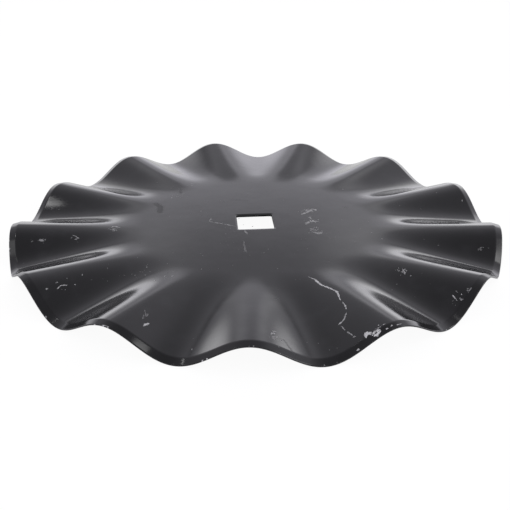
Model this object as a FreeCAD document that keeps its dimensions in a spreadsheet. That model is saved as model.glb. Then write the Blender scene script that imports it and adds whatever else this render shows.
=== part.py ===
import FreeCAD, Part
import Sketcher
import os
from math import cos, pi, sin, sqrt

# A fluted harrow disc blade: one round of steel sheet, flat round its square
# bore, with waves pressed into it that grow from the flat centre to the rim.
# The upper side of the rim is bevelled. Millimetres, +Z up. The origin is in
# the middle of the bore, halfway through the sheet, and -Y is the front.

doc = FreeCAD.newDocument("harrow_disc_blade")

# Driving sizes

SIZES = [
    ("blade_diameter", 508.0, "over the rim, a 20 inch blade"),
    ("sheet_thickness", 3.2, "square to the sheet, on the flutes too"),
    ("flute_count", 13, "waves round the rim"),
    ("flat_diameter", 234.0, "flat centre, inside the flutes"),
    ("flute_onset", 32.0, "radial length over which a flute bends up to its full slope"),
    ("wave_height", 22.5, "trough to crest at the rim, in the middle of the sheet"),
    ("wave_drop", 1.8, "midway between crest and trough at the rim, under the flat centre"),
    ("crest_turn", -1.1, "degrees from the front to the nearest crest"),
    ("bevel_width", 6.8, "radial width of the band ground on the upper side of the rim"),
    ("edge_thickness", 1.0, "blunt edge left at the rim, under the bevel"),
    ("axle_side", 38.1, "square axle, 1-1/2 inch"),
    ("axle_clearance", 0.4, "bore over axle, across the flats"),
    ("bore_turn", 4.0, "degrees from the X axis to the bore's flats"),
    ("bore_corner_radius", 2.5, "rounded corners of the punched bore"),
    ("bore_chamfer", 0.5, "broken edges of the bore, on both faces"),
]
sheet = doc.addObject("Spreadsheet::Sheet", "Sizes")
for row, (alias, value, meaning) in enumerate(SIZES, start=1):
    sheet.set("A%d" % row, alias)
    sheet.set("B%d" % row, str(value))
    sheet.set("C%d" % row, meaning)
    sheet.setAlias("B%d" % row, alias)
doc.recompute()

# The pressed blank: the whole fluted sheet, before the bore is punched.
# Each flute is laid from trough to trough in narrow strips that run from the
# flat centre to the rim, and the finished flute is repeated round the axis.

CENTRE = FreeCAD.Vector(0, 0, 0)
AXIS = FreeCAD.Vector(0, 0, 1)
STRIPS_PER_FLUTE = 10
flutes = round(sheet.flute_count)
half_flute = pi / flutes
flat_radius = sheet.flat_diameter / 2
rim_radius = sheet.blade_diameter / 2
half_thickness = sheet.sheet_thickness / 2


def wave_rise(radius):
    """Half the wave's height at a radius, and what it gains per millimetre of radius.

    The gain starts from nothing at the flat centre, grows evenly over the
    onset and then stays, so that the wave has its full height at the rim.
    """
    beyond_flat = radius - flat_radius
    full_gain = sheet.wave_height / 2 / (rim_radius - flat_radius - sheet.flute_onset / 2)
    if beyond_flat < sheet.flute_onset:
        gain = full_gain * beyond_flat / sheet.flute_onset
        return gain * beyond_flat / 2, gain
    return full_gain * (beyond_flat - sheet.flute_onset / 2), full_gain


def sheet_point(radius, angle, offset):
    """A point at an offset from the middle of the sheet; the crest is at angle 0.

    The middle of the sheet is a cosine wave, whose own middle sinks as the
    wave rises. The offset is square to the sheet, so along Z it grows with
    the slope there.
    """
    rise, gain = wave_rise(radius)
    phase = flutes * angle
    level = cos(phase) - 2 * sheet.wave_drop / sheet.wave_height
    outward_slope = gain * level
    sideways_slope = flutes * rise * sin(phase) / radius
    stretch = sqrt(1 + outward_slope**2 + sideways_slope**2)
    height = rise * level + offset * stretch
    return FreeCAD.Vector(radius * cos(angle), radius * sin(angle), height)


def ring_curve(radius, offset):
    """One flute's wave at a radius, from trough to trough and level at both ends.

    Its parameter runs from -1 to 1, with a knot between each two strips.
    """
    knots = [2 * strip / STRIPS_PER_FLUTE - 1 for strip in range(STRIPS_PER_FLUTE + 1)]
    pace = radius * half_flute
    curve = Part.BSplineCurve()
    curve.interpolate(
        Points=[sheet_point(radius, half_flute * knot, offset) for knot in knots],
        Parameters=knots,
        InitialTangent=FreeCAD.Vector(sin(half_flute), cos(half_flute), 0) * pace,
        FinalTangent=FreeCAD.Vector(-sin(half_flute), cos(half_flute), 0) * pace,
        Scale=False,
    )
    return curve


def flute_skin(outer_radius, offset):
    """One flute's upper or lower face, skinned over rings from the flat outwards.

    It leaves the flat level, and its second parameter is the radius.
    """
    onset_end = flat_radius + sheet.flute_onset
    radii = [
        flat_radius,
        (flat_radius + onset_end) / 2,
        onset_end,
        (onset_end + outer_radius) / 2,
        outer_radius,
    ]
    rings = [ring_curve(radius, offset) for radius in radii]
    strings = []
    for poles in zip(*[ring.getPoles() for ring in rings]):
        string = Part.BSplineCurve()
        string.interpolate(
            Points=list(poles),
            Parameters=radii,
            InitialTangent=FreeCAD.Vector(poles[0].x, poles[0].y, 0) / flat_radius,
            FinalTangent=(poles[-1] - poles[-2]) / (radii[-1] - radii[-2]),
            Scale=False,
        )
        strings.append(string)
    skin = Part.BSplineSurface()
    skin.buildFromPolesMultsKnots(
        [string.getPoles() for string in strings],
        rings[0].getMultiplicities(),
        strings[0].getMultiplicities(),
        rings[0].getKnots(),
        strings[0].getKnots(),
        False,
        False,
        rings[0].Degree,
        strings[0].Degree,
    )
    return skin


def strips(skin):
    """The faces of a skin between its neighbouring knots round the axis."""
    knots = skin.getUKnots()
    inner, outer = skin.getVKnots()[0], skin.getVKnots()[-1]
    return [skin.toShape(start, end, inner, outer) for start, end in zip(knots, knots[1:])]


def repeat_round(shapes):
    """Copies of the shapes for every flute, the first crest beside the front."""
    turns = [sheet.crest_turn - 90 + 360 * flute / flutes for flute in range(flutes)]
    return [shape.copy().rotate(CENTRE, AXIS, turn) for turn in turns for shape in shapes]


def pressed_blank():
    """The fluted sheet with its bevelled rim, as one closed solid."""
    bevel_radius = rim_radius - sheet.bevel_width
    upper = flute_skin(bevel_radius, half_thickness)
    lower = flute_skin(rim_radius, -half_thickness)
    bevel_start = upper.vIso(bevel_radius).toShape()
    edge_top = ring_curve(rim_radius, sheet.edge_thickness - half_thickness).toShape()
    edge_bottom = lower.vIso(rim_radius).toShape()
    bevel = Part.makeRuledSurface(bevel_start, edge_top)
    blunt_edge = Part.makeRuledSurface(edge_top, edge_bottom)
    faces = repeat_round(strips(upper) + strips(lower) + [bevel, blunt_edge])
    for skin in (upper, lower):
        flat_outline = repeat_round([skin.vIso(flat_radius).toShape()])
        faces.append(Part.Face(Part.Wire(flat_outline)))
    shell = Part.makeShell(faces)
    shell.sewShape()
    return Part.makeSolid(shell)


blank = doc.addObject("Part::Feature", "PressedBlank")
blank.Label = "pressed_blank"
blank.Shape = pressed_blank()
blank.Placement = FreeCAD.Placement()

# The blade: the blank with the bore punched through its flat centre and the
# bore's edges broken on both faces.


def origin_plane(body, role):
    return next(plane for plane in body.Origin.OriginFeatures if plane.Role == role)


def draw_rounded_square(sketch, side, corner_radius):
    """Four straights and four corner arcs round the sketch's origin.

    They are drawn in turn, counterclockwise from the right-hand straight, so
    even numbers are straights and odd numbers are arcs.
    """
    drawn_reach = 16.0
    drawn_radius = 3.0
    for turn in range(4):
        square_turn = FreeCAD.Rotation(AXIS, 90 * turn)
        far = drawn_reach + drawn_radius
        start = square_turn.multVec(FreeCAD.Vector(far, -drawn_reach, 0))
        end = square_turn.multVec(FreeCAD.Vector(far, drawn_reach, 0))
        corner = square_turn.multVec(FreeCAD.Vector(drawn_reach, drawn_reach, 0))
        circle = Part.Circle(corner, AXIS, drawn_radius)
        sketch.addGeometry(Part.LineSegment(start, end))
        sketch.addGeometry(Part.ArcOfCircle(circle, turn * pi / 2, (turn + 1) * pi / 2))
    for straight in (0, 2, 4, 6):
        arc = straight + 1
        next_straight = (straight + 2) % 8
        sketch.addConstraint(Sketcher.Constraint("Tangent", straight, 2, arc, 1))
        sketch.addConstraint(Sketcher.Constraint("Tangent", arc, 2, next_straight, 1))
    for arc in (3, 5, 7):
        sketch.addConstraint(Sketcher.Constraint("Equal", 1, arc))
    right, top, left, bottom = 0, 2, 4, 6
    for upright in (right, left):
        sketch.addConstraint(Sketcher.Constraint("Vertical", upright))
    for level in (top, bottom):
        sketch.addConstraint(Sketcher.Constraint("Horizontal", level))
    sketch.addConstraint(Sketcher.Constraint("Symmetric", right, 1, left, 1, -1, 1))
    across = sketch.addConstraint(Sketcher.Constraint("DistanceX", left, 1, right, 1, 2 * far))
    along = sketch.addConstraint(Sketcher.Constraint("DistanceY", bottom, 1, top, 1, 2 * far))
    radius = sketch.addConstraint(Sketcher.Constraint("Radius", 1, drawn_radius))
    sketch.setExpression("Constraints[%d]" % across, side)
    sketch.setExpression("Constraints[%d]" % along, side)
    sketch.setExpression("Constraints[%d]" % radius, corner_radius)


def bore_rims(shape):
    """Names of the edges where the bore meets the two flat faces."""
    half_diagonal = (sheet.axle_side + sheet.axle_clearance) / sqrt(2)
    names = []
    for number, edge in enumerate(shape.Edges, start=1):
        box = edge.BoundBox
        level = box.ZLength < half_thickness
        near_axis = box.Center.Length < half_diagonal and box.DiagonalLength < 2 * half_diagonal
        if level and near_axis:
            names.append("Edge%d" % number)
    return names


blade = doc.addObject("PartDesign::Body", "Blade")
blade.Label = "disc_blade"
blade.BaseFeature = blank

bore_outline = blade.newObject("Sketcher::SketchObject", "BoreOutline")
bore_outline.AttachmentSupport = [(origin_plane(blade, "XY_Plane"), "")]
bore_outline.MapMode = "FlatFace"
bore_outline.setExpression("AttachmentOffset.Rotation.Angle", "Sizes.bore_turn")
draw_rounded_square(
    bore_outline, "Sizes.axle_side + Sizes.axle_clearance", "Sizes.bore_corner_radius"
)

bore = blade.newObject("PartDesign::Pocket", "SquareBore")
bore.Profile = bore_outline
bore.Type = "ThroughAll"
bore.Midplane = True
doc.recompute()

broken_edges = blade.newObject("PartDesign::Chamfer", "BrokenBoreEdges")
broken_edges.Base = (bore, bore_rims(bore.Shape))
broken_edges.setExpression("Size", "Sizes.bore_chamfer")
blade.Tip = broken_edges
blade.Placement = FreeCAD.Placement()
doc.recompute()

# What is checked before anything is written

for item in doc.Objects:
    if "Invalid" in item.State or "Error" in item.State:
        raise RuntimeError("%s could not be built: %s" % (item.Name, item.State))
if blade.Shape.isNull() or not blade.Shape.isValid() or len(blade.Shape.Solids) != 1:
    raise RuntimeError("the blade is not one valid solid")
if not broken_edges.Shape.Volume < bore.Shape.Volume < blank.Shape.Volume:
    raise RuntimeError("the bore or its broken edges cut nothing")

os.makedirs("parts", exist_ok=True)
blade.Shape.exportStep("parts/%s.step" % blade.Label)
print("volume %.0f mm3, %d faces" % (blade.Shape.Volume, len(blade.Shape.Faces)))
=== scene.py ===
import math
import bpy
import numpy as np
from mathutils import Euler, Matrix, Vector


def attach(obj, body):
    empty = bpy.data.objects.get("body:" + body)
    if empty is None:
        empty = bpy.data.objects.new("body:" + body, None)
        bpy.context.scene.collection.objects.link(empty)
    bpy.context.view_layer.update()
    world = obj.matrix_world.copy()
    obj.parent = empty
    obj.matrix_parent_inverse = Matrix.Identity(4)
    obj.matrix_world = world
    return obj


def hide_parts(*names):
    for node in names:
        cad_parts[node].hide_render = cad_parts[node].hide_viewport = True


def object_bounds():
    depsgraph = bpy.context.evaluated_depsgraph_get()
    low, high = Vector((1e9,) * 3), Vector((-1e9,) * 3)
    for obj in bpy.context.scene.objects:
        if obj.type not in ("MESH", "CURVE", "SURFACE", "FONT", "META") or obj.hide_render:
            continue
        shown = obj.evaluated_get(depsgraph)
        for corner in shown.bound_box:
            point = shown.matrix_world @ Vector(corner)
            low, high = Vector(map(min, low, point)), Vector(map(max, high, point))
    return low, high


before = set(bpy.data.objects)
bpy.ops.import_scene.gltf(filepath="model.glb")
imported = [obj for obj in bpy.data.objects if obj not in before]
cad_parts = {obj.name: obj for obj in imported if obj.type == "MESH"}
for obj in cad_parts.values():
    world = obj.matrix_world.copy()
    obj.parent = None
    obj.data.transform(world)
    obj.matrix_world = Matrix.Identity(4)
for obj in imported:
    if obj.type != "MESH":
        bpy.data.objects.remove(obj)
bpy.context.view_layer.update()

# The blade: one round of 3.2 mm steel sheet. It is punched with a square bore,
# pressed into thirteen waves that fade out towards the flat centre, and
# ground to a bevel along the upper side of its rim.

rim_radius = 0.254
sheet_thickness = 0.0032
flutes = 13
flat_radius = 0.117
flute_onset = 0.032
wave_height = 0.0225
wave_drop = 0.0018
crest_angle = math.radians(-91.1)
bevel_width = 0.0068
edge_thickness = 0.001
bore_side = 0.0385
bore_corner = 0.0025
bore_angle = math.radians(4)
bore_chamfer = 0.0005


def wave_rise(radius):
    """Half the wave's height at a radius, and its gain per metre of radius.

    The gain grows evenly from 0 over the onset and then stays, so the rise is
    a parabola, x * x * gain / (2 * onset), followed by its straight tangent.
    """
    full_gain = wave_height / 2 / (rim_radius - flat_radius - flute_onset / 2)
    out = np.clip(radius - flat_radius, 0, None)
    inside = np.clip(out, 0, flute_onset)
    gain = full_gain * inside / flute_onset
    return gain * inside / 2 + full_gain * (out - inside), gain


def sheet_height(radius, angle, offset):
    """Height of the sheet, at an offset square to its middle.

    The middle is rise * (cos(flutes * angle) - drop), where the drop sets the
    rim a little under the flat centre. The offset is longer along Z where the
    sheet is steep, by the square root of 1 + slope squared.
    """
    rise, gain = wave_rise(radius)
    phase = flutes * (angle - crest_angle)
    level = np.cos(phase) - 2 * wave_drop / wave_height
    outward = gain * level
    sideways = flutes * rise * np.sin(phase) / radius
    return rise * level + offset * np.sqrt(1 + outward**2 + sideways**2)


def upper_height(radius, angle):
    """Height of the blade's upper side, on the sheet and down the bevel.

    The bevel falls in a straight line from the sheet's skin to the blunt edge.
    """
    half = sheet_thickness / 2
    across = np.clip((radius - rim_radius) / bevel_width + 1, 0, 1)
    start = sheet_height(np.minimum(radius, rim_radius - bevel_width), angle, half)
    end = sheet_height(rim_radius + 0 * radius, angle, edge_thickness - half)
    return start + (end - start) * across


def bore_reach(angle, grown):
    """Distance from the axis to the outline of the rounded square bore.

    On a flat it is half / cos. On a corner it is the far crossing of the ray
    with the corner's circle: d + sqrt(d * d - c * c + r * r), where c is the
    distance of the circle's centre and d its part along the ray.
    """
    half = bore_side / 2 + grown
    turned = (angle - bore_angle + math.pi / 4) % (math.pi / 2) - math.pi / 4
    flat = half / np.cos(turned)
    centre = half - bore_corner
    along = centre * (np.cos(turned) + np.sin(np.abs(turned)))
    corner = along + np.sqrt(np.clip(along**2 - 2 * centre**2 + bore_corner**2, 0, None))
    return np.where(half * np.tan(np.abs(turned)) > centre, corner, flat)


flat_shares = np.array([0.02, 0.06, 0.12, 0.2, 0.3, 0.42, 0.55, 0.7, 0.85, 1.0])
bevel_shares = np.array([0.06, 0.15, 0.5, 0.88, 0.97])
edge_shares = np.array([0.2, 0.8])
flank_stations = 44
flank_gap = 0.003
near_bevel = np.array([0.0012, 0.0006])
near_edge = np.array([0.001, 0.0003])


def blade_grid(angles):
    """The blade's whole skin as a profile carried round the axis.

    Each row of the grid is one station of the profile, and each column one
    angle. The profile runs out over the upper face, down the bevel and the
    blunt edge, back in under the sheet, and up the bore's wall to its start.
    Stations close to a corner stand a little off it, so that the paint rounds
    it. A second grid is 1 where a station is on the upper side, and 0
    elsewhere.
    """
    half = sheet_thickness / 2
    angle = angles[None, :]

    def flat_rows(shares, side):
        inner = bore_reach(angle, bore_chamfer)
        radius = inner + (flat_radius - inner) * shares[:, None]
        return radius, np.full_like(radius, side * half)

    def skin_rows(radii, side):
        radius = radii[:, None] + 0 * angle
        return radius, sheet_height(radius, angle, side * half)

    def bevel_rows(shares):
        radius = rim_radius - bevel_width * (1 - shares[:, None]) + 0 * angle
        return radius, upper_height(radius, angle)

    def edge_rows(drops):
        top = sheet_height(rim_radius + 0 * angle, angle, edge_thickness - half)
        bottom = sheet_height(rim_radius + 0 * angle, angle, -half)
        radius = rim_radius + 0 * drops[:, None] * angle
        return radius, top + (bottom - top) * drops[:, None]

    def wall_rows(grown, heights):
        radius = bore_reach(angle, 0) + np.array(grown)[:, None]
        return radius, np.array(heights)[:, None] + 0 * angle

    flank_start = flat_radius + flank_gap
    flank_end = rim_radius - bevel_width
    flank = np.linspace(flank_start, flank_end - flank_gap, flank_stations)
    under = np.linspace(flank_start, rim_radius - flank_gap, flank_stations)
    wall = half - bore_chamfer
    upper_parts = [
        flat_rows(flat_shares, 1),
        skin_rows(np.concatenate([flank, flank_end - near_bevel]), 1),
        bevel_rows(bevel_shares),
    ]
    other_parts = [
        edge_rows(edge_shares),
        skin_rows(np.concatenate([under, rim_radius - near_edge])[::-1], -1),
        flat_rows(flat_shares[::-1], -1),
        wall_rows([bore_chamfer, 0, 0, bore_chamfer], [-half, -wall, wall, half]),
    ]
    radius = np.concatenate([part[0] for part in upper_parts + other_parts])
    height = np.concatenate([part[1] for part in upper_parts + other_parts])
    upper = np.zeros_like(radius)
    upper[: sum(len(part[0]) for part in upper_parts)] = 1
    points = np.stack([radius * np.cos(angle), radius * np.sin(angle), height], axis=-1)
    return points, upper


def closed_grid_mesh(name, points):
    """A mesh of quads from a grid that closes on itself both ways, like a ring."""
    rows, columns = points.shape[:2]
    row = np.arange(rows)[:, None]
    column = np.arange(columns)[None, :]
    corners = [
        row * columns + column,
        row * columns + (column + 1) % columns,
        (row + 1) % rows * columns + (column + 1) % columns,
        (row + 1) % rows * columns + column,
    ]
    quads = np.stack(corners[::-1], axis=-1).reshape(-1, 4)
    mesh = bpy.data.meshes.new(name)
    mesh.vertices.add(rows * columns)
    mesh.vertices.foreach_set("co", points.reshape(-1))
    mesh.loops.add(quads.size)
    mesh.loops.foreach_set("vertex_index", quads.reshape(-1))
    mesh.polygons.add(len(quads))
    mesh.polygons.foreach_set("loop_start", np.arange(0, quads.size, 4))
    mesh.polygons.foreach_set("use_smooth", np.ones(len(quads), dtype=bool))
    mesh.update(calc_edges=True)
    mesh.validate()
    return mesh


columns_per_flute = 56
column_count = flutes * columns_per_flute
angles = np.arange(column_count) * 2 * math.pi / column_count
blade_points, upper_side = blade_grid(angles)
blade = bpy.data.objects.new("fluted_blade", closed_grid_mesh("fluted_blade", blade_points))
upper_layer = blade.data.attributes.new("upper_side", "FLOAT", "POINT")
upper_layer.data.foreach_set("value", upper_side.reshape(-1).astype(np.float32))
bpy.context.scene.collection.objects.link(blade)
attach(blade, "root")
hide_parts("disc_blade")

# Satin black enamel, sprayed over the blade. It is thin and a little wavy. It
# is rubbed dull where other blades lay on it, chipped along the rim, and
# dusted with fine pale specks.


class Socket:
    """A shader value that Python's operators work on, each adding one Math node."""

    def __init__(self, tree, link):
        self.tree = tree
        self.link = link

    def node(self, kind, settings=None, inputs=None, output=0):
        """Adds any node: its settings first, then its sockets, and gives one output."""
        made = self.tree.nodes.new(kind)
        for key, value in (settings or {}).items():
            if key == "stops":
                elements = made.color_ramp.elements
                while len(elements) < len(value):
                    elements.new(0.5)
                for element, (place, colour) in zip(elements, value):
                    element.position = place
                    element.color = (*colour, 1)
            else:
                setattr(made, key, value)
        for key, value in (inputs or {}).items():
            if isinstance(value, Socket):
                self.tree.links.new(value.link, made.inputs[key])
            else:
                made.inputs[key].default_value = value
        return Socket(self.tree, made.outputs[output])

    def math(self, operation, *values, clamp=False):
        """A Math node on the values, which has one result."""
        settings = {"operation": operation, "use_clamp": clamp}
        return self.node("ShaderNodeMath", settings, dict(enumerate(values)))

    def vector(self, operation, *values, output="Vector"):
        """A Vector Math node on the values, which gives a Vector or one Value."""
        settings = {"operation": operation}
        return self.node("ShaderNodeVectorMath", settings, dict(enumerate(values)), output)

    def scale(self, vector):
        """The vector times this value."""
        sockets = {0: vector, "Scale": self}
        return self.node("ShaderNodeVectorMath", {"operation": "SCALE"}, sockets)

    def between(self, low, high, top=1.0):
        """0 below low and top above high, with a smooth step between."""
        return self.node(
            "ShaderNodeMapRange",
            {"interpolation_type": "SMOOTHSTEP"},
            {"Value": self, "From Min": low, "From Max": high, "To Max": top},
        )

    def blend(self, first, second):
        """The first colour where this value is 0, and the second where it is 1."""
        colours = {0: self, 6: first, 7: second}
        return self.node("ShaderNodeMix", {"data_type": "RGBA"}, colours, 2)

    def noise(self, scale, detail=2.0, output="Fac"):
        """Noise at this place, with so many cells to a metre."""
        sockets = {"Vector": self, "Scale": scale, "Detail": detail}
        return self.node("ShaderNodeTexNoise", None, sockets, output)

    def __add__(self, other):
        return self.math("ADD", self, other)

    def __sub__(self, other):
        return self.math("SUBTRACT", self, other)

    def __mul__(self, other):
        return self.math("MULTIPLY", self, other)

    def __rsub__(self, other):
        return self.math("SUBTRACT", other, self)

    def __or__(self, other):
        return self.math("MAXIMUM", self, other)

    __radd__ = __add__
    __rmul__ = __mul__


# Rubbed places, in millimetres seen from above. Each has the strength and half
# the width of its line, and the points that the line goes through.

matt_marks = [
    (1.0, 4.2, [(-112, 50), (-106, 42), (-105, 28)]),
    (0.8, 1.6, [(18, -166), (19, -165)]),
    (0.7, 2.0, [(100, 37), (102, 37)]),
    (0.9, 2.2, [(-88, 97), (-87, 84)]),
    (0.5, 3.0, [(-26, 62), (-10, 59)]),
    (0.6, 1.2, [(22, -233), (25, -239), (29, -246)]),
]
fade_start = 0.5
fade_end = 1.3


def drawn(flat, marks):
    """How strongly the marks cover a place that is flattened to millimetres.

    The distance to a run of a line is the length of p - s * run, where p is
    the place from the run's start, and s is the dot product of p and run over
    the run's square, held between 0 and 1. A line fades out between two
    shares of half its width.
    """
    cover = None
    for strength, half_width, path in marks:
        nearest = None
        for (x0, y0), (x1, y1) in zip(path, path[1:]):
            run = (x1 - x0, y1 - y0, 0)
            square = run[0] ** 2 + run[1] ** 2
            shortened = (run[0] / square, run[1] / square, 0)
            start = flat.vector("SUBTRACT", flat, (x0, y0, 0))
            along = start.vector("DOT_PRODUCT", start, shortened, output="Value")
            held = along.math("ADD", along, 0.0, clamp=True)
            off = start.vector("SUBTRACT", start, held.scale(run))
            distance = off.vector("LENGTH", off, output="Value")
            nearest = distance if nearest is None else nearest.math("MINIMUM", nearest, distance)
        line = nearest.between(half_width * fade_end, half_width * fade_start) * strength
        cover = line if cover is None else cover | line
    return cover


paint = bpy.data.materials.new("black_paint")
paint.use_nodes = True
paint_tree = paint.node_tree
paint_shader = paint_tree.nodes["Principled BSDF"]
place = Socket(paint_tree, paint_tree.nodes.new("ShaderNodeTexCoord").outputs["Object"])
on_upper_side = place.node("ShaderNodeAttribute", {"attribute_name": "upper_side"}, output="Fac")
from_axis = place.vector("MULTIPLY", place, (1, 1, 0))
radius = from_axis.vector("LENGTH", from_axis, output="Value")

mm_per_metre = 1000
edge_wander = 1.1
wander_noise = place.noise(420.0, 2.0, "Color")
wander = wander_noise.vector(
    "MULTIPLY_ADD",
    wander_noise,
    (2 * edge_wander, 2 * edge_wander, 0),
    (-edge_wander, -edge_wander, 0),
)
flat = place.vector("MULTIPLY_ADD", place, (mm_per_metre, mm_per_metre, 0), wander)
rubbed = drawn(flat, matt_marks) * on_upper_side

chip_start = 0.0016
chip_full = 0.0002
speck_whiteness = 0.35
dusty_places = place.noise(9.0, 2.0).between(0.46, 0.6)
specks = place.noise(330.0, 1.0).between(0.77, 0.83) * dusty_places
at_rim = radius.between(rim_radius - chip_start, rim_radius - chip_full)
chips = at_rim * place.noise(150.0, 4.0).between(0.63, 0.7)
bare = chips | specks * speck_whiteness

clean_roughness = 0.1
cloudy_gain = 0.05
wiped_gain = 0.03
rubbed_gain = 0.28
bare_gain = 0.35
cloud = place.noise(16.0, 4.0)
wiped = place.vector("MULTIPLY", place, (25, 90, 25)).noise(1.0, 3.0)
roughness = clean_roughness + cloudy_gain * cloud.between(0.4, 0.7)
roughness = roughness + wiped_gain * wiped.between(0.45, 0.7)
roughness = roughness + rubbed_gain * rubbed + bare_gain * bare

black = (0.005, 0.005, 0.0055, 1)
dusty_black = (0.011, 0.011, 0.012, 1)
chalk_grey = (0.78, 0.78, 0.77, 1)
ground = place.noise(45.0, 5.0).between(0.5, 0.75).blend(black, dusty_black)
colour = bare.blend(ground, chalk_grey)

one_mm = 0.001
peel_mm = 0.012
wavy_mm = 0.10
chip_mm = 0.08
relief = place.noise(240.0, 2.0) * peel_mm + place.noise(34.0, 2.0) * wavy_mm - chip_mm * chips
bump_sockets = {"Strength": 1.0, "Distance": one_mm, "Height": relief}
bump = relief.node("ShaderNodeBump", None, bump_sockets)

paint_ior = 1.5
paint_shader.inputs["IOR"].default_value = paint_ior
paint_tree.links.new(colour.link, paint_shader.inputs["Base Color"])
paint_tree.links.new(roughness.link, paint_shader.inputs["Roughness"])
paint_tree.links.new(bump.link, paint_shader.inputs["Normal"])
blade.data.materials.append(paint)

# Chalky marks: where other blades scraped over this one, their edges left thin
# smears of paint dust on it, and bruised the black paint white. Each mark has
# its whiteness, half its width in millimetres, and points seen from above.

chalky_marks = [
    (0.85, 0.85, [(48, -127), (54, -133), (58, -143), (65, -151), (71, -160), (73, -175)]),
    (0.75, 0.7, [(74, -178), (76, -186), (76, -190)]),
    (0.7, 0.55, [(76, -194), (73, -202), (68, -206)]),
    (0.5, 0.5, [(70, -208), (73, -215)]),
    (0.5, 0.5, [(74, -217), (78, -224)]),
    (0.5, 0.8, [(78, -225), (80, -226)]),
    (1.0, 2.6, [(86, -229), (89, -229), (92, -230)]),
    (1.0, 0.8, [(92, -232), (94, -229), (99, -228)]),
    (1.0, 0.8, [(99, -229), (97, -231), (93, -233)]),
    (0.5, 1.5, [(50, 18), (56, 23), (64, 32)]),
    (0.4, 1.4, [(54, 32), (60, 26)]),
    (0.45, 1.4, [(63, 35), (68, 29)]),
    (0.4, 1.1, [(58, 12), (61, 4)]),
    (0.5, 1.4, [(53, -9), (58, -1), (68, -1)]),
    (0.36, 1.4, [(57, -19), (61, -22)]),
    (0.2, 1.2, [(61, -17), (65, -17)]),
    (0.45, 1.5, [(61, -29), (66, -32), (70, -27)]),
    (0.34, 0.8, [(-47, 11), (-49, 0), (-44, -2), (-30, -8), (-20, -13)]),
    (0.34, 0.9, [(-11, -23), (-8, -33)]),
    (0.18, 0.8, [(-12, -48), (-10, -71), (-8, -76)]),
    (0.5, 0.7, [(-187, -36), (-180, -40)]),
    (0.6, 0.8, [(-152, -17), (-148, -14), (-142, -16)]),
    (0.4, 0.7, [(-152, -22), (-144, -23)]),
    (0.35, 1.1, [(-220, -46), (-214, -46)]),
    (0.3, 1.1, [(-227, -48), (-225, -48)]),
    (0.7, 0.5, [(-178, -148), (-175, -143), (-170, -141)]),
    (0.45, 0.9, [(-187, -151), (-185, -150)]),
    (0.22, 0.7, [(-93, -193), (-91, -202), (-90, -197)]),
    (0.2, 0.7, [(-93, -206), (-93, -200)]),
    (0.7, 0.9, [(-92, -214), (-88, -208)]),
    (0.7, 0.9, [(12, -230), (15, -228)]),
    (0.5, 0.8, [(13, -226), (16, -224)]),
    (0.3, 0.8, [(13, -236), (14, -240)]),
    (0.3, 0.8, [(19, -233), (20, -237)]),
    (0.24, 1.0, [(132, -115), (134, -118)]),
    (0.4, 0.8, [(135, -120), (140, -116)]),
    (0.5, 0.8, [(137, -116), (138, -124)]),
    (0.45, 0.8, [(142, -127), (143, -127)]),
    (0.6, 0.6, [(173, -160), (176, -167)]),
    (0.5, 0.6, [(180, -162), (181, -162)]),
    (0.3, 0.6, [(187, -161), (190, -158)]),
    (0.25, 0.6, [(221, -64), (226, -62), (228, -63)]),
    (0.3, 0.7, [(235, 54), (236, 57)]),
    (0.4, 1.3, [(-160, -125), (-159, -125)]),
    (0.5, 1.3, [(-77, -125), (-76, -126)]),
    (0.4, 1.5, [(-93, -133), (-91, -133)]),
    (0.5, 1.0, [(-52, -231), (-51, -231)]),
    (0.8, 0.7, [(103, -229), (105, -228)]),
    (0.7, 0.5, [(107, -227), (109, -225)]),
    (0.6, 0.5, [(95, -233), (97, -233)]),
    (0.7, 0.7, [(79, -239), (82, -239)]),
    (0.5, 0.4, [(112, -225), (117, -222)]),
]

# Fields of flecks: how many, their whiteness, the middle of the field, and how
# far they scatter each way from it in millimetres.

fleck_fields = [
    (34, 0.5, (58, 28), (7, 7)),
    (22, 0.5, (60, 0), (7, 5)),
    (26, 0.5, (62, -24), (6, 7)),
    (8, 0.4, (-184, -38), (4, 4)),
    (12, 0.5, (-147, -19), (7, 5)),
    (8, 0.4, (-218, -46), (7, 2)),
    (6, 0.6, (-176, -144), (9, 5)),
    (36, 0.26, (-98, -110), (40, 28)),
    (10, 0.4, (-84, -130), (12, 6)),
    (14, 0.4, (137, -118), (5, 6)),
    (10, 0.4, (176, -164), (6, 5)),
    (7, 0.25, (188, -160), (3, 4)),
    (7, 0.25, (225, -63), (5, 2)),
    (12, 0.45, (14, -233), (3, 8)),
    (12, 0.5, (98, -230), (8, 4)),
    (10, 0.3, (-85, 80), (6, 9)),
    (60, 0.16, (0, 0), (130, 130)),
]
fleck_reach = 246
fleck_scatter = 0.6
fleck_run = 0.9
fleck_half_widths = (0.3, 0.65)
fleck_strengths = (0.5, 1.4)

smear_height = 0.00007
smear_step = 0.0007
fewest_stations = 7
smear_wander = 0.3
smear_swell = 0.55
least_swell = 0.25
most_swell = 1.7
end_narrowing = 0.9
lens_places = np.array([-1, -0.6, 0, 0.6, 1, 0.6, 0, -0.6])
lens_top_points = 5
lens_crown = 0.8
lens_depth = 2


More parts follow.
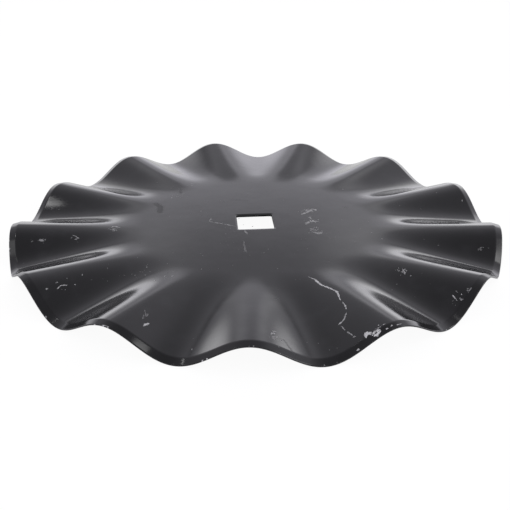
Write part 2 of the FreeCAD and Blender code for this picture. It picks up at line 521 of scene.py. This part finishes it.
def smear_grid(path, half_width, random):
    """One smear as a flat lens carried along a line on the upper face.

    Across the line, the lens stands 0.8 - s * s of its height over the paint
    for s from -1 to 1, so that its edges dip in, and its flat underside is
    sunk in the sheet. Along the line, its width and its place wander a
    little, and it narrows to its ends as 1 - 0.9 * t ** 6.
    """
    corners = np.array(path, dtype=float) / mm_per_metre
    runs = np.hypot(*np.diff(corners, axis=0).T)
    reach = np.concatenate([[0], np.cumsum(runs)])
    count = max(fewest_stations, int(reach[-1] / smear_step))
    along = np.linspace(0, reach[-1], count)
    x = np.interp(along, reach, corners[:, 0])
    y = np.interp(along, reach, corners[:, 1])
    tangent = np.stack([np.gradient(x), np.gradient(y)])
    tangent /= np.hypot(*tangent)
    smoothing = np.array([1, 2, 1]) / 4
    wander = np.convolve(random.normal(0, smear_wander, count), smoothing, "same") * half_width
    swell = 1 + np.convolve(random.normal(0, smear_swell, count), smoothing, "same")
    share = np.linspace(-1, 1, count)
    width = half_width * np.clip(swell, least_swell, most_swell) * (1 - share**6 * end_narrowing)
    on_top = np.arange(len(lens_places)) < lens_top_points
    top = smear_height * (lens_crown - lens_places**2)
    lift = np.where(on_top, top, -lens_depth * smear_height)
    side = (wander[:, None] + width[:, None] * lens_places) / mm_per_metre
    x = x[:, None] - tangent[1][:, None] * side
    y = y[:, None] + tangent[0][:, None] * side
    height = upper_height(np.hypot(x, y), np.arctan2(y, x))
    return np.stack([x, y, height + lift], axis=-1)


def capped_tube_faces(rows, columns, first):
    """Quads round a grid that is closed across, and one face over each end.

    The grid's points are counted row by row, from the number that is first.
    """
    row = np.arange(rows - 1)[:, None] * columns + first
    column = np.arange(columns)[None, :]
    after = (column + 1) % columns
    next_row = row + columns
    quads = np.stack([row + column, next_row + column, next_row + after, row + after], -1)
    start = (first + np.arange(columns)).tolist()
    end = (first + (rows - 1) * columns + np.arange(columns))[::-1].tolist()
    return quads.reshape(-1, 4).tolist() + [start, end]


seed = 7
random = np.random.default_rng(seed)
flecks = []
for count, field_whiteness, middle, scatter in fleck_fields:
    starts = middle + random.normal(0, fleck_scatter, (count, 2)) * scatter
    starts *= np.minimum(1, fleck_reach / np.hypot(*starts.T))[:, None]
    runs = random.normal(0, fleck_run, (count, 2))
    widths = random.uniform(*fleck_half_widths, count)
    strengths = field_whiteness * random.uniform(*fleck_strengths, count)
    flecks += [
        (strength, width, [start, start + run])
        for strength, width, start, run in zip(strengths, widths, starts, runs)
    ]
smear_points = []
smear_faces = []
smear_whiteness = []
point_count = 0
for mark_whiteness, half_width, path in chalky_marks + flecks:
    grid = smear_grid(path, half_width, random)
    rows, columns = grid.shape[:2]
    smear_faces += capped_tube_faces(rows, columns, point_count)
    smear_points.append(grid.reshape(-1, 3))
    smear_whiteness.append(np.full(rows * columns, mark_whiteness))
    point_count += rows * columns
smear_mesh = bpy.data.meshes.new("chalky_marks")
smear_mesh.from_pydata(np.concatenate(smear_points).tolist(), [], smear_faces)
smear_mesh.polygons.foreach_set("use_smooth", np.ones(len(smear_faces), dtype=bool))
white_layer = smear_mesh.attributes.new("whiteness", "FLOAT", "POINT")
white_layer.data.foreach_set("value", np.concatenate(smear_whiteness).astype(np.float32))
smears = bpy.data.objects.new("chalky_marks", smear_mesh)
bpy.context.scene.collection.objects.link(smears)
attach(smears, "root")

chalk = bpy.data.materials.new("paint_dust")
chalk.use_nodes = True
chalk_tree = chalk.node_tree
chalk_shader = chalk_tree.nodes["Principled BSDF"]
bruised_black = (0.008, 0.008, 0.009, 1)
chalk_white = (0.8, 0.8, 0.79, 1)
crumb_gap_cover = 0.3
crumb_mm = 0.05
chalk_roughness = 0.55
chalk_place = Socket(chalk_tree, chalk_tree.nodes.new("ShaderNodeTexCoord").outputs["Object"])
whiteness = chalk_place.node("ShaderNodeAttribute", {"attribute_name": "whiteness"}, output="Fac")
crumbs = chalk_place.noise(700.0, 3.0).between(0.34, 0.58)
cover = whiteness * (crumb_gap_cover + (1 - crumb_gap_cover) * crumbs)
smear_colour = cover.blend(bruised_black, chalk_white)
smear_sockets = {"Distance": one_mm, "Height": crumbs * crumb_mm}
smear_bump = crumbs.node("ShaderNodeBump", None, smear_sockets)
chalk_shader.inputs["Roughness"].default_value = chalk_roughness
chalk_shader.inputs["IOR"].default_value = paint_ior
chalk_tree.links.new(smear_colour.link, chalk_shader.inputs["Base Color"])
chalk_tree.links.new(smear_bump.link, chalk_shader.inputs["Normal"])
smear_mesh.materials.append(chalk)

# The studio floor: the blade lies on it, on the troughs of its waves. It is
# dull and pale. The camera sees it white with the blade's shadow. In the paint
# it shines white in the open, and a painted shadow fades this glow out close
# under the blade, so that it stays dark there.

floor_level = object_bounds()[0][2]
floor_reach = 6.0
floor_mesh = bpy.data.meshes.new("floor")
floor_mesh.from_pydata(
    [
        (-floor_reach, -floor_reach, floor_level),
        (floor_reach, -floor_reach, floor_level),
        (floor_reach, floor_reach, floor_level),
        (-floor_reach, floor_reach, floor_level),
    ],
    [],
    [(0, 1, 2, 3)],
)
floor = bpy.data.objects.new("floor", floor_mesh)
bpy.context.scene.collection.objects.link(floor)

floor_colour = (0.9, 0.9, 0.9, 1)
floor_roughness = 0.9
seen_strength = 1.05
camera_share = 0.9
glossy_share = 0.9
painted_shadow_radius = 0.2
painted_shadow_end_radius = 0.34
floor_paint = bpy.data.materials.new("floor_paint")
floor_paint.use_nodes = True
floor_tree = floor_paint.node_tree
floor_shader = floor_tree.nodes["Principled BSDF"]
floor_shader.inputs["Base Color"].default_value = floor_colour
floor_shader.inputs["Roughness"].default_value = floor_roughness
floor_shader.inputs["Specular IOR Level"].default_value = 0.0
floor_rays = floor_tree.nodes.new("ShaderNodeLightPath")
camera_ray = Socket(floor_tree, floor_rays.outputs["Is Camera Ray"])
glossy_ray = Socket(floor_tree, floor_rays.outputs["Is Glossy Ray"])
white = camera_ray.node("ShaderNodeEmission", inputs={"Strength": seen_strength})
floor_place = Socket(floor_tree, floor_tree.nodes.new("ShaderNodeTexCoord").outputs["Object"])
from_middle = floor_place.vector("LENGTH", floor_place, output="Value")
# Painted shadow: the white glow that the paint sees fades out towards the middle, and is gone
# under the blade.
glow_beyond_painted_shadow = from_middle.between(painted_shadow_radius, painted_shadow_end_radius)
floor_mix = camera_ray.node(
    "ShaderNodeMixShader",
    inputs={
        0: camera_ray * camera_share + glossy_ray * glow_beyond_painted_shadow * glossy_share,
        1: Socket(floor_tree, floor_shader.outputs["BSDF"]),
        2: white,
    },
)
floor_tree.links.new(floor_mix.link, floor_tree.nodes["Material Output"].inputs["Surface"])
floor.data.materials.append(floor_paint)

# Tent of white cloth round the floor: its light by degrees above the floor, a
# little brighter on the right. Then its brighter and darker places: degrees to
# the right of straight behind, degrees up, their radius in degrees, the light.

tent_levels = [
    (0, 1.35), (8, 1.22), (12, 1.02), (16, 0.95), (20.5, 1.02), (21.8, 0.98), (22.6, 0.88),
    (23.6, 0.76), (24.8, 0.61), (26, 0.56), (27.5, 0.62), (34, 0.62), (44, 0.62), (52, 0.55),
    (62, 0.47), (70, 0.4), (90, 0.35),
]
tent_tint = (1.0, 0.985, 1.07)
right_gain = 0.15
tent_glows = [
    (34, 24, 30, 0.2),
    (-30, 22, 30, 0.1),
    (60, 30, 30, 0.15),
    (-24, 15, 18, -0.33),
    (25, 15, 18, -0.38),
]

world = bpy.data.worlds.new("studio")
bpy.context.scene.world = world
world.use_nodes = True
world_tree = world.node_tree
world_tree.nodes.clear()
outward = Socket(world_tree, world_tree.nodes.new("ShaderNodeTexCoord").outputs["Generated"])
split = world_tree.nodes.new("ShaderNodeSeparateXYZ")
world_tree.links.new(outward.link, split.inputs[0])
to_the_right = Socket(world_tree, split.outputs["X"])
upwards = Socket(world_tree, split.outputs["Z"])
brightest = max(level for elevation, level in tent_levels)
stops = [
    (math.sin(math.radians(elevation)), [level / brightest * tint for tint in tent_tint])
    for elevation, level in tent_levels
]
cloth = upwards.node("ShaderNodeValToRGB", {"stops": stops}, {"Fac": upwards})
cloth_level = (1 + right_gain * to_the_right) * brightest
lit_cloth = cloth_level.scale(cloth)
for side, elevation, spread, glow_level in tent_glows:
    turn = math.radians(side)
    climb = math.radians(elevation)
    level_part = math.cos(climb)
    centre = (math.sin(turn) * level_part, math.cos(turn) * level_part, math.sin(climb))
    near = outward.vector("DOT_PRODUCT", outward, centre, output="Value")
    glow = near.between(math.cos(math.radians(spread)), 1.0, glow_level)
    lit_cloth = glow.vector("ADD", lit_cloth, glow.scale(tent_tint))
tent = lit_cloth.node("ShaderNodeBackground", inputs={"Color": lit_cloth})
seen_tent = lit_cloth.node("ShaderNodeBackground", inputs={"Color": (1, 1, 1, 1)})
seen = Socket(world_tree, world_tree.nodes.new("ShaderNodeLightPath").outputs["Is Camera Ray"])
choice = seen.node("ShaderNodeMixShader", inputs={0: seen, 1: tent, 2: seen_tent})
world_out = world_tree.nodes.new("ShaderNodeOutputWorld")
world_tree.links.new(choice.link, world_out.inputs["Surface"])

# Soft lamps: where each stands, how wide and high it is, how bright, and the
# share of its half width over which its light fades. Each faces the blade.

soft_lamps = [
    ("right_panel", (0.42, 0.47, 0.14), 0.54, 0.27, 1.55, 0.9),
    ("left_panel", (-0.42, 0.47, 0.14), 0.54, 0.27, 1.25, 0.9),
    ("right_fill", (0.20, 0.50, 0.27), 0.28, 0.18, 0.4, 1.0),
    ("left_fill", (-0.20, 0.50, 0.27), 0.28, 0.18, 0.2, 1.0),
    ("right_strip", (0.29, 0.50, 0.06), 0.34, 0.18, 0.5, 0.7),
    ("left_strip", (-0.29, 0.50, 0.06), 0.34, 0.18, 0.45, 0.7),
    ("far_right_lamp", (1.22, -0.33, 2.72), 0.42, 0.42, 2.6, 0.2),
    ("right_lamp", (1.15, 0.04, 0.96), 0.47, 0.37, 2.8, 0.2),
    ("left_lamp", (-1.92, 0.17, 2.30), 0.63, 0.42, 0.8, 0.2),
    ("far_left_lamp", (-1.60, 0.83, 2.55), 0.40, 0.08, 8.5, 0.15),
]
for name, stand, width, height, brightness, fade in soft_lamps:
    light = bpy.data.lights.new(name, "AREA")
    light.shape = "RECTANGLE"
    light.size = width
    light.size_y = height
    light.energy = brightness * math.pi * width * height
    light.use_nodes = True
    lamp_tree = light.node_tree
    lamp_tree.nodes.clear()
    on_lamp = Socket(lamp_tree, lamp_tree.nodes.new("ShaderNodeTexCoord").outputs["UV"])
    parts = lamp_tree.nodes.new("ShaderNodeSeparateXYZ")
    lamp_tree.links.new(on_lamp.link, parts.inputs[0])
    inward = []
    for axis in ("X", "Y"):
        off_centre = Socket(lamp_tree, parts.outputs[axis]) * 2 - 1
        off = off_centre.math("ABSOLUTE", off_centre)
        inward.append((1 - off).between(0.0, fade))
    shine = inward[0].node("ShaderNodeEmission", inputs={"Strength": inward[0] * inward[1]})
    lamp_out = lamp_tree.nodes.new("ShaderNodeOutputLight")
    lamp_tree.links.new(shine.link, lamp_out.inputs["Surface"])
    lamp = bpy.data.objects.new(name, light)
    lamp.location = stand
    lamp.rotation_euler = Vector(stand).to_track_quat("Z", "Y").to_euler()
    bpy.context.scene.collection.objects.link(lamp)

# The camera: it stands in front of the blade and looks down at it. Its turns
# are in radians, and its lens is given in pixels of the square picture.

camera_place = (-0.00105, -0.73839, 0.3263)
camera_down = 0.45893
camera_turn = 0.00092
camera_roll = -0.00519
focal_length_pixels = 752.86
picture_width_pixels = 510

camera = bpy.data.cameras.new("camera")
camera.sensor_width = 36
camera.lens = focal_length_pixels / picture_width_pixels * camera.sensor_width
camera_object = bpy.data.objects.new("camera", camera)
camera_object.location = camera_place
looking = Euler((math.pi / 2 - camera_down, 0, -camera_turn)).to_matrix()
rolled = looking @ Matrix.Rotation(camera_roll, 3, "Z")
camera_object.rotation_euler = rolled.to_euler()
bpy.context.scene.collection.objects.link(camera_object)
bpy.context.scene.camera = camera_object

bpy.context.scene.view_settings.view_transform = "Standard"
